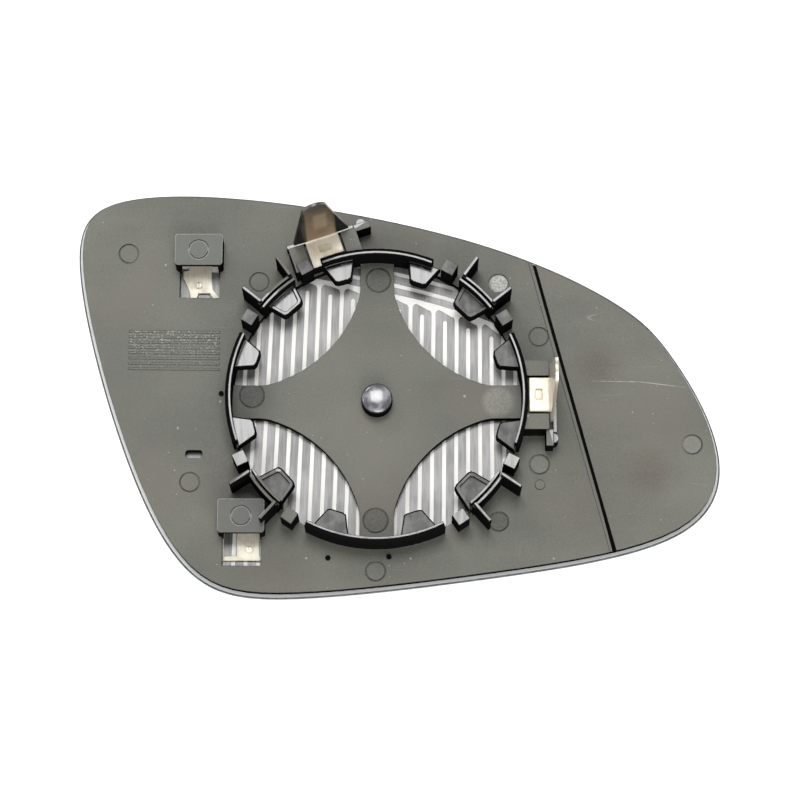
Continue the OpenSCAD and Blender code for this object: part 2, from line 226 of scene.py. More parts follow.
def blend(tree, factor, a, b, mode="MIX"):
    """A Mix node between two colours, each an output or a linear RGBA."""
    n = node(tree, "ShaderNodeMix", data_type="RGBA", blend_type=mode)
    for key, value in ((0, factor), (6, a), (7, b)):
        put(tree, n.inputs[key], value)
    return n.outputs[2]


def axes(tree, source="Object"):
    """The three parts of a texture coordinate."""
    place = node(tree, "ShaderNodeTexCoord").outputs[source]
    return node(tree, "ShaderNodeSeparateXYZ", {0: place}).outputs


def mapped(tree, scale, turn=0.0):
    """Object coordinates in units of a length in millimetres, turned in degrees."""
    place = node(tree, "ShaderNodeTexCoord").outputs["Object"]
    sizes = scale if isinstance(scale, tuple) else (scale,) * 3
    stretch = tuple(1 / (s * MM) for s in sizes)
    about = (0, 0, math.radians(turn))
    return node(tree, "ShaderNodeMapping", {"Vector": place}, Scale=stretch, Rotation=about).outputs[0]


def noise(tree, scale, turn=0.0, detail=2.0, rough=0.5):
    """Noise whose features are the given length in millimetres."""
    place = mapped(tree, scale, turn)
    n = node(tree, "ShaderNodeTexNoise", {"Vector": place}, Scale=1.0, Detail=detail, Roughness=rough)
    return n.outputs["Fac"]


def bump(tree, height, strength, distance, normal=None):
    """A Bump node for heights of 0..1 that stand for a distance in millimetres."""
    links = {"Height": height}
    if normal is not None:
        links["Normal"] = normal
    return node(tree, "ShaderNodeBump", links, Strength=strength, Distance=distance * MM).outputs[0]


def cover(obj, *finishes):
    """Gives a piece its materials, one slot each."""
    obj.data.materials.clear()
    for each in finishes:
        obj.data.materials.append(each)


def piece(name, mesh):
    """Links a mesh as a new piece at the origin, riding on the part."""
    obj = bpy.data.objects.new(name, mesh)
    bpy.context.scene.collection.objects.link(obj)
    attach(obj, "root")
    return obj


def meshed(name, points, faces):
    """A mesh from an array of points in millimetres and an array of quads."""
    mesh = bpy.data.meshes.new(name)
    mesh.from_pydata((points * MM).tolist(), [], faces.tolist())
    mesh.update()
    return mesh


def quads(rows, columns, around=False, keep=None):
    """Indices of the quads of a grid of rows by columns, whose columns may close into a ring."""
    i, j = np.meshgrid(np.arange(rows - 1), np.arange(columns if around else columns - 1), indexing="ij")
    k = (j + 1) % columns
    corners = [i * columns + j, i * columns + k, (i + 1) * columns + k, (i + 1) * columns + j]
    cells = np.stack(corners, axis=-1)
    return cells[keep] if keep is not None else cells.reshape(-1, 4)


def welded(source, name, joined=True):
    """A merged copy of a CAD node's mesh as a new piece, whose flat facets may be joined into whole faces."""
    mesh = bpy.data.meshes.new(name)
    b = bmesh.new()
    b.from_mesh(NODES[source].data)
    bmesh.ops.remove_doubles(b, verts=b.verts, dist=0.004 * MM)
    if joined:
        bmesh.ops.dissolve_limit(b, angle_limit=math.radians(1), verts=b.verts, edges=b.edges)
    b.to_mesh(mesh)
    b.free()
    # The frame's own corner normals don't fit the merged copy
    if "custom_normal" in mesh.attributes:
        mesh.attributes.remove(mesh.attributes["custom_normal"])
    obj = piece(name, mesh)
    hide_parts(source)
    return obj


def round_edges(obj, width, segments=2, angle=40):
    """Rounds a piece's sharp edges with a Bevel modifier, width in metres."""
    m = obj.modifiers.new("Rounded edges", "BEVEL")
    m.width = width
    m.segments = segments
    m.limit_method = "ANGLE"
    m.angle_limit = math.radians(angle)
    m.harden_normals = False


def smooth(obj, angle):
    """Shades a piece smooth, except across edges sharper than an angle in degrees."""
    obj.data.shade_smooth()
    obj.data.set_sharp_from_angle(angle=math.radians(angle))


def outline(steps):
    """The glass outline in millimetres, in steps to a span, sized to the glass's box.

    It is the uniform cubic B-spline of its control points: with t from 0 to 1 along a span, the four points
    round it count (1 - t)^3, 3 t^3 - 6 t^2 + 4, 1 + 3 t + 3 t^2 - 3 t^3 and t^3 sixths.
    """
    t = np.arange(steps) / steps
    basis = np.stack([(1 - t) ** 3, 3 * t**3 - 6 * t**2 + 4, 1 + 3 * t + 3 * t**2 - 3 * t**3, t**3], axis=1)
    basis /= 6
    spans = np.stack([np.roll(OUTLINE, -k, axis=0) for k in range(4)], axis=1)
    p = np.einsum("tk,skc->stc", basis, spans).reshape(-1, 2)
    low, high = p.min(axis=0), p.max(axis=0)
    return ((p - low) / (high - low) - 0.5) * (GLASS_W, GLASS_H)


def inset(line, depth):
    """The closed line moved inwards by a depth, along the normal of its neighbours' chord."""
    chord = np.roll(line, -1, axis=0) - np.roll(line, 1, axis=0)
    chord /= np.linalg.norm(chord, axis=1)[:, None]
    return line + depth * np.stack([-chord[:, 1], chord[:, 0]], axis=1)


def sag(xy):
    """Height of the convex mirror face over its lowest point: R - sqrt(R^2 - d^2), d from the ring's axis."""
    return GLASS_R - np.sqrt(GLASS_R**2 - ((xy - RING) ** 2).sum(axis=-1))


# Radius of the largest speck, in cells
SPECK = 0.09
# Spots whose tone differs from the flats: azimuth in degrees and distance from the ring's axis, radius and
# softness, then tone and strength
SPOTS = (
    # Painted light: the web round the ring's axis lightened, against the shade the ring casts on it
    ((180, 9, 21, 8.0), "7b7c72", 0.45),
    ((180, 62, 13, 9.0), "5d5d55", 0.4),
    ((45, 45.8, 2.6, 0.15), "dfe0da", 1.0),
    ((177, 33.1, 3.3, 0.15), "24241f", 0.9),
    ((89.4, 33.5, 3.3, 0.15), "3c3c36", 0.7),
    ((-90.5, 32, 3.3, 0.15), "37362f", 0.6),
    ((0, 32, 4.0, 1.0), "a5a69e", 0.5),
    ((-21.7, 46, 2.6, 0.15), "8f908a", 0.4),
    ((-45.4, 45.4, 2.6, 0.15), "3a3933", 0.7),
    ((-8.3, 83.7, 2.6, 0.15), "8a8b86", 0.5),
    # Painted shade: darker patches on the left and top arms, next to the ring's inner wall
    ((178, 34.5, 7.0, 4.0), "484842", 0.6),
    ((90, 36, 6.0, 4.0), "4c4c46", 0.5),
    ((9.2, 59, 4.5, 4.5), "54493c", 0.8),
    ((-15.5, 74, 5.0, 5.0), "54493c", 0.7),
    ((-28, 62, 9.0, 8.0), "5a5348", 0.5),
    ((-118, 54, 9.0, 8.0), "5a5348", 0.45),
    ((-152, 44, 7.0, 6.0), "504d44", 0.5),
)
# The ends of the long scratches, and their width
LONG_SCRATCHES = (((51.5, 3.0), (64.0, 2.6)), ((63.0, 2.8), (76.5, 0.9)))
SCRATCH_W = 0.24
# The ribbed patch's low and high corners, and where along y its painted glints grow
RIB_PATCH = np.array([[-71, 6], [-47, 17]])
GLINT_Y = (8, 16)
# The two cover boxes' low and high corners, a little outside their walls, and a height under their tops
COVERS = (np.array([[-59.4, 32.5], [-45.6, 42.3]]), np.array([[-47.1, -39.6], [-33.7, -29.4]]))
COVER_Z = BACK_Z + 4
# Index of refraction of ABS
ABS_IOR = 1.54


def speckles(tree, cell, share, seed):
    """Round specks of dust: 1 at the middle of a random share of Voronoi cells of a size in millimetres."""
    place = mapped(tree, cell, seed)
    cells = node(tree, "ShaderNodeTexVoronoi", {"Vector": place}, Scale=1.0, Randomness=1.0)
    chosen = node(tree, "ShaderNodeSeparateColor", {"Color": cells.outputs["Color"]}).outputs[0]
    size = product(tree, maths(tree, "SUBTRACT", chosen, 1 - share), SPECK / share)
    return band(tree, maths(tree, "SUBTRACT", size, cells.outputs["Distance"]), -0.02, 0.02)


def near_spot(tree, azimuth, r, size, soft):
    """1 inside an upright cylinder, fading to 0 over a softness: a place, radius and softness as in SPOTS."""
    a = math.radians(azimuth)
    middle = (RING + r * np.array([math.cos(a), math.sin(a)])) * MM
    place = node(tree, "ShaderNodeTexCoord").outputs["Object"]
    flat = node(tree, "ShaderNodeVectorMath", {0: place}, operation="MULTIPLY")
    flat.inputs[1].default_value = (1, 1, 0)
    gap = node(tree, "ShaderNodeVectorMath", {0: flat.outputs[0]}, operation="DISTANCE")
    gap.inputs[1].default_value = (*middle, 0)
    return band(tree, gap.outputs["Value"], (size - soft) * MM, (size + soft) * MM, 1.0, 0.0)


def near_patch(tree, corners, fade=0.5):
    """1 over an upright box, by the distances from its middle, fading out over its last millimetres."""
    place = axes(tree)
    shares = []
    for axis in (0, 1):
        middle = float(corners[:, axis].mean()) * MM
        half = float(np.ptp(corners[:, axis])) / 2 * MM
        gap = maths(tree, "ABSOLUTE", maths(tree, "SUBTRACT", place[axis], middle))
        shares.append(band(tree, gap, half - fade * MM, half, 1.0, 0.0))
    return product(tree, *shares)


def along(tree, start, turn):
    """How far, in metres, a place lies from a start along a direction in radians: x cos + y sin."""
    place = axes(tree)
    x = maths(tree, "SUBTRACT", place[0], float(start[0]) * MM)
    y = maths(tree, "SUBTRACT", place[1], float(start[1]) * MM)
    return weighed(tree, (x, math.cos(turn)), (y, math.sin(turn)))


def near_line(tree, start, end, width):
    """1 on a straight line between two places, by the distances along it and across it, and 0 beside it."""
    run = np.subtract(end, start)
    reach = float(np.hypot(*run)) * MM
    turn = math.atan2(run[1], run[0])
    aside = maths(tree, "ABSOLUTE", along(tree, start, turn + math.pi / 2))
    from_middle = maths(tree, "ABSOLUTE", maths(tree, "SUBTRACT", along(tree, start, turn), reach / 2))
    ends = band(tree, from_middle, reach * 0.4, reach * 0.5, 1.0, 0.0)
    thin = band(tree, aside, width * 0.3 * MM, width * 0.6 * MM, 1.0, 0.0)
    return product(tree, ends, thin)


def scratches(tree, gap, turn, width):
    """Fine scratches: thin level lines of a drawn-out noise, shown only where a second noise is high."""
    drawn = noise(tree, (gap * 14, gap * 1.4, gap * 3), turn=turn, detail=0.0)
    line = maths(tree, "ABSOLUTE", maths(tree, "SUBTRACT", drawn, 0.5))
    where = noise(tree, (gap * 3, gap * 1.5, gap * 3), turn=turn, detail=1.0)
    return product(tree, band(tree, line, 0.0, width, 1.0, 0.0), band(tree, where, 0.64, 0.7))


def eroded_tone(tree, grain, cloud):
    """The flats' tone: the mould's grain, wide clouds and wipe marks in the sheen, and brown stains."""
    p = settings("mirror_plate")
    smear = noise(tree, (60, 9, 20), turn=-24, detail=3.0)
    stain = noise(tree, 20, turn=70, detail=2.0)
    shade = weighed(tree, (grain, 0.5), (cloud, 0.4), (smear, 0.25))
    base = blend(tree, 1.0, tuple(p.flat), band(tree, shade, 0.38, 0.78, 0.74, 1.2), "MULTIPLY")
    return blend(tree, band(tree, stain, 0.52, 0.7, 0.0, 0.45), base, colour("6f685c"))


def dust_marks_and_painted_light(tree, base):
    """The tone with its dust, fine scratches, long scratches and spots."""
    dust = maths(tree, "MAXIMUM", speckles(tree, 4.5, 0.5, 12), speckles(tree, 2.2, 0.5, 47))
    marks = maths(tree, "MAXIMUM", scratches(tree, 4.5, 52, 0.005), scratches(tree, 7.0, -14, 0.004))
    base = blend(tree, product(tree, dust, 0.5), base, colour("c9c9c2"))
    base = blend(tree, product(tree, marks, 0.22), base, colour("c2c1ba"))
    for start, end in LONG_SCRATCHES:
        faint = band(tree, noise(tree, 3.0, detail=2.0), 0.35, 0.6, 0.15, 0.6)
        line = product(tree, near_line(tree, start, end, SCRATCH_W), faint)
        base = blend(tree, line, base, colour("c6c5bd"))
    rough = noise(tree, 0.55, detail=2.0, rough=0.8)
    for place, tone, share in SPOTS:
        mottled = band(tree, rough, 0.35, 0.65, share * 0.45, share)
        base = blend(tree, product(tree, near_spot(tree, *place), mottled), base, colour(tone))
    return base


def painted_rib_glints_and_pits(tree, base):
    """The tone with glints and pits on the worn ribs, most of all at the top of their patch."""
    patch = near_patch(tree, RIB_PATCH)
    low, high = GLINT_Y
    painted_sheen = product(tree, patch, band(tree, axes(tree)[1], low * MM, high * MM, 0.25, 1.0))
    glint = band(tree, noise(tree, (0.5, 0.32, 0.5), detail=2.0, rough=0.7), 0.56, 0.66)
    pit = band(tree, noise(tree, (0.4, 0.3, 0.5), turn=20, detail=2.0, rough=0.7), 0.56, 0.66)
    # Painted highlight: pale glints, growing towards the top of the patch
    base = blend(tree, product(tree, painted_sheen, glint), base, colour("c6c6c0"))
    return blend(tree, product(tree, patch, pit, 0.7), base, colour("2a2a26"))


def eroded_abs():
    """Black ABS flats from a spark-eroded mould: the fine grain scatters a wide sheen, so they look grey."""
    p = settings("mirror_plate")
    m, tree, shader = material("Spark-eroded black ABS")
    grain = noise(tree, p.grain / MM, detail=3.0, rough=0.75)
    # Wide clouds of painted sheen in the flats' tone, also used in the bump
    cloud = noise(tree, 26, turn=30, detail=3.0)
    base = painted_rib_glints_and_pits(tree, dust_marks_and_painted_light(tree, eroded_tone(tree, grain, cloud)))
    # Dark, polished edges: where a rounded normal leaves the true one
    turned = node(tree, "ShaderNodeBevel", samples=6, Radius=0.3 * MM).outputs[0]
    true = node(tree, "ShaderNodeNewGeometry").outputs["Normal"]
    facing = node(tree, "ShaderNodeVectorMath", {0: turned, 1: true}, operation="DOT_PRODUCT")
    edge = band(tree, facing.outputs["Value"], 0.9, 0.99, 0.7, 0.0)
    # The cover boxes' tops are darker, and their edges that don't face the front get a painted highlight
    lids = maths(tree, "MAXIMUM", near_patch(tree, COVERS[0]), near_patch(tree, COVERS[1]))
    lids = product(tree, lids, band(tree, axes(tree)[2], COVER_Z * MM, (COVER_Z + 1) * MM))
    base = blend(tree, product(tree, lids, 0.45), base, colour("5a5e5d"))
    front = node(tree, "ShaderNodeSeparateXYZ", {0: turned}).outputs[1]
    # Painted highlight on the lids' edges that face away from the front
    painted_highlight = product(tree, lids, band(tree, front, -0.2, 0.0))
    base = blend(tree, edge, base, blend(tree, painted_highlight, colour("141412"), colour("dadbda")))
    rough = maths(tree, "SUBTRACT", 0.5, product(tree, edge, 0.42))
    rounded = node(tree, "ShaderNodeBevel", samples=6, Radius=p.edge).outputs[0]
    depth = maths(tree, "ADD", grain, product(tree, cloud, 0.4))
    normal = bump(tree, depth, 0.35, 0.06, rounded)
    finish(tree, shader, Base_Color=base, Roughness=rough, IOR=ABS_IOR, Normal=normal)
    return m


def polished_abs(name, rough, edge, level, painted_sheen=None):
    """Black ABS from a polished mould: deep black with bright rounded edges, or worn to two paler tones."""
    m, tree, shader = material(name)
    wipe = noise(tree, (1.2, 9, 9), turn=35, detail=2.0)
    base = tuple(settings("mirror_plate").wall)
    # Painted sheen: the black gives way to two paler, mottled tones
    if painted_sheen:
        painted_highlight = band(tree, noise(tree, 3.2, detail=3.0), 0.38, 0.62)
        base = blend(tree, painted_highlight, colour(painted_sheen[0]), colour(painted_sheen[1]))
    rounded = node(tree, "ShaderNodeBevel", samples=8, Radius=edge * MM).outputs[0]
    finish(
        tree,
        shader,
        Base_Color=base,
        Roughness=band(tree, wipe, 0.35, 0.7, rough, rough + 0.1),
        IOR=ABS_IOR,
        Specular_IOR_Level=level,
        Normal=bump(tree, wipe, 0.1, 0.05, rounded),
    )
    return m


def silvered_glass():
    """Silvered float glass: its face mirrors, its back and edge are pale, and its ground bevels darker."""
    p = settings("mirror_glass")
    m, tree, shader = material("Silvered glass with a ground edge")
    normal_z = axes(tree, "Normal")[2]
    face = band(tree, normal_z, -0.995, -0.97, 1.0, 0.0)
    wall = band(tree, maths(tree, "ABSOLUTE", normal_z), 0.1, 0.2, 1.0, 0.0)
    pale = maths(tree, "MAXIMUM", band(tree, normal_z, 0.95, 0.99), wall)
    grit = noise(tree, (2.2, 2.2, 0.8), detail=2.0)
    # Painted reflection: the ground bevels darkened, mottled by their grit
    ground = blend(tree, band(tree, grit, 0.35, 0.65), colour("3c4140"), colour("5d6361"))
    base = blend(tree, face, blend(tree, pale, ground, tuple(p.rim)), tuple(p.mirror))
    finish(tree, shader, Base_Color=base, Metallic=face, Roughness=band(tree, face, 0, 1, 0.45, 0.02))
    return m


def heater_foil():
    """White polyester foil: smooth, so that it shows a soft gloss between the tracks."""
    m, tree, shader = material("White polyester foil")
    cloud = band(tree, noise(tree, 12, detail=2.0), 0.35, 0.7, 0.0, 0.25)
    base = blend(tree, cloud, tuple(settings("mirror_heater").foil), colour("e6e5e4"))
    finish(tree, shader, Base_Color=base, Roughness=0.2)
    return m


def etched_track():
    """Etched aluminium track: satin grey bands with a fine lengthwise grain."""
    m, tree, shader = material("Etched aluminium track")
    fibre = noise(tree, (0.5, 7, 4), turn=-6, detail=3.0)
    shade = weighed(tree, (fibre, 0.5), (noise(tree, 9, detail=2.0), 0.5))
    track = tuple(settings("mirror_heater").track)
    base = blend(tree, band(tree, shade, 0.35, 0.65), colour("6e6e6d"), track)
    finish(tree, shader, Base_Color=base, Metallic=0.35, Roughness=0.36)
    return m


def rise(tree, low, high, start=0.0, end=1.0):
    """Goes from start to end between two heights over the plate, in millimetres."""
    return band(tree, axes(tree)[2], (BACK_Z + low) * MM, (BACK_Z + high) * MM, start, end)


def painted_tongue_reflection(tree, base, risen, upper, azimuth):
    """Over the bend the tin is thin and brown, dark at the corners and tip, and pale in the middle."""
    aside = maths(tree, "ABSOLUTE", along(tree, RING, math.radians(azimuth + 90)))
    base = blend(tree, risen, base, colour(upper))
    # Painted dark reflection at the tongue's corners
    corners = product(tree, risen, band(tree, aside, 3.6 * MM, 4.4 * MM))
    base = blend(tree, corners, base, colour("15120f"))
    # Painted highlight: a pale patch in the tongue's middle
    middle = band(tree, aside, 1.2 * MM, 2.4 * MM, 1.0, 0.0)
    patch = product(tree, rise(tree, 15, 20), rise(tree, 27, 31, 1.0, 0.0), middle, 0.7)
    base = blend(tree, patch, base, colour("d9c9a8"))
    return blend(tree, rise(tree, 31, 35), base, colour("6f6a66"))


def tinned(name, tone, dark, rough, upper=None, azimuth=0.0, metal=0.35):
    """Hot-tinned brass: bright and a little uneven, and bare metal over the bend."""
    m, tree, shader = material(name)
    risen = rise(tree, 8.7, 9.6)
    cloud = noise(tree, 3.5, detail=4.0, rough=0.6)
    lines = noise(tree, (0.25, 6, 6), turn=20, detail=2.0)
    shade = weighed(tree, (cloud, 0.7), (lines, 0.3))
    base = blend(tree, band(tree, shade, 0.42, 0.66), tuple(tone), colour(dark))
    # The folded leaf under a blade's foot lies in its shade
    leaf = product(tree, rise(tree, 7.0, 7.8, 0.8, 0.0), rise(tree, 5, 6))
    base = blend(tree, leaf, base, colour("7d7361"))
    # Painted reflection on a blade's tongue
    if upper:
        base = painted_tongue_reflection(tree, base, risen, upper, azimuth)
    finish(
        tree,
        shader,
        Base_Color=base,
        Metallic=maths(tree, "ADD", product(tree, risen, 0.9 - metal), metal),
        Roughness=band(tree, cloud, 0.3, 0.7, rough - 0.06, rough + 0.08),
        Normal=bump(tree, cloud, 0.12, 0.05),
    )
    return m


# The finishes of the plate, in the order of its material slots
FLATS, WALLS, TABS, TOPS, SATIN_PAINTED_SHEEN, BOSS = range(6)
# Half the width of the web's arms, the ring's inner radius, and the angle from a clip to its blocks
ARM_HALF_W, RING_R, BLOCK_ANGLE = 4.7, 37.6, 14.6
# The upper clips' azimuths, the blade holders' azimuths and their reach from the ring's axis
UPPER_CLIPS, HOLDERS, HOLDER_R = (133.5, 46.3), (0, 109), (40, 45.6)
# The small pins' places
PINS = np.array([[-17.9, -44.5], [-2.0, -44.2], [-46.4, -0.3]])


def plate_finishes():
    """The plate's materials, one for each finish of the mould."""
    return (
        eroded_abs(),
        polished_abs("Drawn walls of black ABS", 0.5, 0.1, 0.0),
        polished_abs("Polished tabs of black ABS", 0.14, 0.3, 1.0),
        polished_abs("Wall tops of black ABS", 0.16, 0.25, 1.0),
        # The satin tabs and the boss carry painted sheen in their paler tones
        polished_abs("Satin tabs of black ABS with painted sheen", 0.45, 0.2, 1.0, ("2c2c2a", "565653")),
        polished_abs("Lapped boss of black ABS with painted sheen", 0.12, 0.3, 1.0, ("58585d", "9d9da3")),
    )


def plate_slots(normal, place):
    """The finish of each face, from its normal and its middle in millimetres."""
    up = normal[:, 2] > 0.9
    away = place[:, :2] - RING
    r, height = np.hypot(*away.T), place[:, 2] - BACK_Z
    azimuth = np.degrees(np.arctan2(away[:, 1], away[:, 0]))
    across = away @ np.array([math.cos(SPLIT_ANGLE), math.sin(SPLIT_ANGLE)])
    groove = np.abs(across - SPLIT_D) < 0.5
    # The cover boxes lie left of the ring, above and below it
    covers = (place[:, 0] < RING[0] - 20) & (np.abs(place[:, 1]) > 25)
    slots = np.where(up & ~groove, TOPS, WALLS)
    slots[up & ((height < 4) | covers) & ~groove] = FLATS
    tab = up & (r > 30) & (r < RING_R) & (height > 2) & (np.abs(away).min(axis=1) > ARM_HALF_W)
    slots[tab] = TABS
    # The boss's top carries painted sheen
    boss = (r < 5) & (height > 3)
    slots[boss] = np.where(normal[boss, 2] > 0.8, BOSS, TOPS)
    # Small pins stand out black
    for x, y in PINS - RING:
        slots[np.hypot(away[:, 0] - x, away[:, 1] - y) < 0.9] = WALLS
    # The upper clips' blocks have satin tops with painted sheen
    for station in UPPER_CLIPS:
        block = np.abs(np.abs(azimuth - station) - BLOCK_ANGLE) < 3
        slots[up & (r > RING_R) & (height > 8) & block] = SATIN_PAINTED_SHEEN
    # The holders' tops are eroded like the flats
    for station in HOLDERS:
        turn = math.radians(station)
        out = away @ np.array([math.cos(turn), math.sin(turn)])
        side = away @ np.array([-math.sin(turn), math.cos(turn)])
        near = (out > HOLDER_R[0]) & (out < HOLDER_R[1]) & (np.abs(side) < 14)
        slots[up & near & (height > 2)] = FLATS
    # The right and lower tabs get satin tops with painted sheen, where the upper left ones stay polished
    slots[tab & ((away[:, 0] > 20) | (away[:, 1] < -20))] = SATIN_PAINTED_SHEEN
    return slots


class OBJECT_OT_mirror_plate(Operator):
    """Gives the backing plate its moulded finish"""

    bl_idname = "object.mirror_plate"
    bl_label = "Backing plate"

    def execute(self, context):
        obj = welded("backing_plate", "backing_plate_moulded", False)
        smooth(obj, 28)
        cover(obj, *plate_finishes())
        mesh = obj.data
        normal, centre = np.empty(len(mesh.polygons) * 3), np.empty(len(mesh.polygons) * 3)
        mesh.polygons.foreach_get("normal", normal)
        mesh.polygons.foreach_get("center", centre)
        slots = plate_slots(normal.reshape(-1, 3), centre.reshape(-1, 3) / MM)
        mesh.polygons.foreach_set("material_index", slots.astype(np.int32))
        return {"FINISHED"}


def glass_rings(bevel):
    """The glass's profile, from the middle of its face over its edge to the middle of its back.

    Each ring is an inset from the outline, a share of the way out from the clip ring's axis, and a height
    over the face.
    """
    small = bevel * 0.3
    shares = (0.02, 0.25, 0.5, 0.75, 0.9)
    face = [(bevel, share, 0.0) for share in shares]
    low = [(bevel, 1.0, 0.0), (small, 1.0, small), (0.0, 1.0, bevel)]
    high = [(0.0, 1.0, GLASS_T - bevel), (small, 1.0, GLASS_T - small), (bevel, 1.0, GLASS_T)]
    back = [(bevel, share, GLASS_T) for share in reversed(shares)]
    return face + low + high + back


class OBJECT_OT_mirror_glass(Operator):
    """Gives the glass its silvered face and ground edge"""

    bl_idname = "object.mirror_glass"
    bl_label = "Mirror glass"

    def execute(self, context):
        line = outline(24)
        rings = glass_rings(settings("mirror_glass").bevel / MM)
        rows = []
        for depth, share, height in rings:
            xy = inset(line, depth) * share + RING * (1 - share)
            rows.append(np.column_stack([xy, sag(xy) + height]))
        cells = quads(len(rings), len(line), around=True)
        mesh = meshed("mirror_glass_ground", np.concatenate(rows), cells)
        b = bmesh.new()
        b.from_mesh(mesh)
        open_edges = [e for e in b.edges if e.is_boundary]
        bmesh.ops.holes_fill(b, edges=open_edges)
        bmesh.ops.recalc_face_normals(b, faces=b.faces)
        b.to_mesh(mesh)
        b.free()
        obj = piece("mirror_glass_ground", mesh)
        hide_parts("mirror_glass")
        smooth(obj, 12)
        cover(obj, silvered_glass())
        return {"FINISHED"}


class OBJECT_OT_mirror_heater(Operator):
    """Gives the heater's foil and track their finish"""

    bl_idname = "object.mirror_heater"
    bl_label = "Heater"

    def execute(self, context):
        cover(NODES["heater_film"], heater_foil())
        cover(NODES["heater_track"], etched_track())
        return {"FINISHED"}


# The blades' sheet, their foot's width and their bend's radius at the sheet's middle
SHEET, FOOT_W, BEND_R = 0.8, 9.0, 0.9
# Distance from the ring's axis of the tongue's middle surface, and height of the foot's
TONGUE_R, FOOT_Z = 45.3 + SHEET / 2, BACK_Z + 8.6 - SHEET / 2
# The tongue's tip: its height, its radius, and the height at which its rounding starts
TIP_Z, TIP_R = BACK_Z + 37.0, 3.34
TAPER_Z = TIP_Z - 2.2
# The tongue's width over the bend and at its tip
LOW_W, TIP_W = 15.2, 6.3
# The foot's rows by their distance from the ring's axis, and a blade's columns as shares of its half width:
# two rows and two columns are the edges of the foot's hole
FOOT_ROWS = [38.2, 40.0, 41.6, 43.4]
ACROSS = np.array([-4.5, -3.6, -2.6, -1.6, -0.55, 0.55, 1.6, 2.3, 3.4, 4.5]) / 4.5
# The leaf under the foot's hole: its distances from the ring's axis, and its half width
LEAF_R, LEAF_HALF_W = (40.9, 44.2), 2.2


def blade_rows():
    """Distance from the ring's axis, height and half width of each row of a blade.

    The foot runs outwards, a quarter circle turns it upwards, and the tongue tapers to a round tip. The half
    width is the foot's, then the tongue's, which shrinks evenly with height, then sqrt(r^2 - (z - c)^2) round
    the tip's centre c.
    """
    turn = np.radians(np.linspace(0, 90, 7))
    shoulder = FOOT_Z + BEND_R + np.array([0.05, 0.4])
    climb = np.linspace(shoulder[-1], TAPER_Z, 14)[1:]
    crown = TIP_Z - TIP_R + TIP_R * np.sin(np.radians(np.linspace(20, 85, 8)))[1:]
    tall = np.concatenate([shoulder, climb, crown])
    taper = np.interp(tall, [shoulder[1], TAPER_Z], [LOW_W / 2, TIP_W / 2])
    taper[0] = FOOT_W / 2
    cap = np.sqrt(np.maximum(TIP_R**2 - np.maximum(tall - TIP_Z + TIP_R, 0) ** 2, 0))
    taper = np.where(tall > TAPER_Z, np.minimum(taper, cap), taper)
    r = np.concatenate([FOOT_ROWS, TONGUE_R - BEND_R + BEND_R * np.sin(turn), np.full(len(tall), TONGUE_R)])
    z = np.concatenate([np.full(len(FOOT_ROWS), FOOT_Z), FOOT_Z + BEND_R - BEND_R * np.cos(turn), tall])
    half = np.concatenate([np.full(len(r) - len(tall), FOOT_W / 2), taper])
    return r, z, half


def placed(r, v, z, azimuth):
    """Points at a distance from the ring's axis, a distance aside and a height, turned to an azimuth."""
    a = math.radians(azimuth)
    x = RING[0] + r * math.cos(a) - v * math.sin(a)
    y = RING[1] + r * math.sin(a) + v * math.cos(a)
    return np.stack([x, y, np.broadcast_to(z, x.shape)], axis=-1)


def bent_blade(name, source, azimuth, leg, lean):
    """A contact blade: the sheet's middle surface, along its foot, bend and tongue and across them.

    The tongue leans aside evenly with height. The foot's first row is cut away, or leaves one leg of it.
    """
    r, z, half = blade_rows()
    start = FOOT_Z + BEND_R + 0.4
    aside = lean * np.clip((z - start) / (TAPER_Z - start), 0, 1)
    v = half[:, None] * ACROSS[None, :] + aside[:, None]
    points = placed(r[:, None], v, z[:, None], azimuth)
    keep = np.ones((len(r) - 1, len(ACROSS) - 1), bool)
    keep[0] = False
    if leg:
        keep[0, 7:] = True
    keep[2, 3:6] = False
    # The folded leaf of sheet that shows through the foot's hole
    leaf_r, leaf_v = np.meshgrid(LEAF_R, [-LEAF_HALF_W, LEAF_HALF_W], indexing="ij")
    leaf = placed(leaf_r, leaf_v, FOOT_Z - SHEET - 0.05, azimuth).reshape(-1, 3)
    cells = np.vstack([quads(*v.shape, keep=keep), np.array([[0, 1, 3, 2]]) + v.size])
    mesh = meshed(name, np.vstack([points.reshape(-1, 3), leaf]), cells)
    b = bmesh.new()
    b.from_mesh(mesh)
    bmesh.ops.delete(b, geom=[q for q in b.verts if not q.link_faces], context="VERTS")
    b.to_mesh(mesh)
    b.free()
    obj = piece(name, mesh)
    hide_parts(source)
    smooth(obj, 50)
    thick = obj.modifiers.new("Sheet", "SOLIDIFY")
    thick.thickness = SHEET * MM
    thick.offset = 0
    round_edges(obj, settings("mirror_contacts").round_edge, angle=60)
    return obj


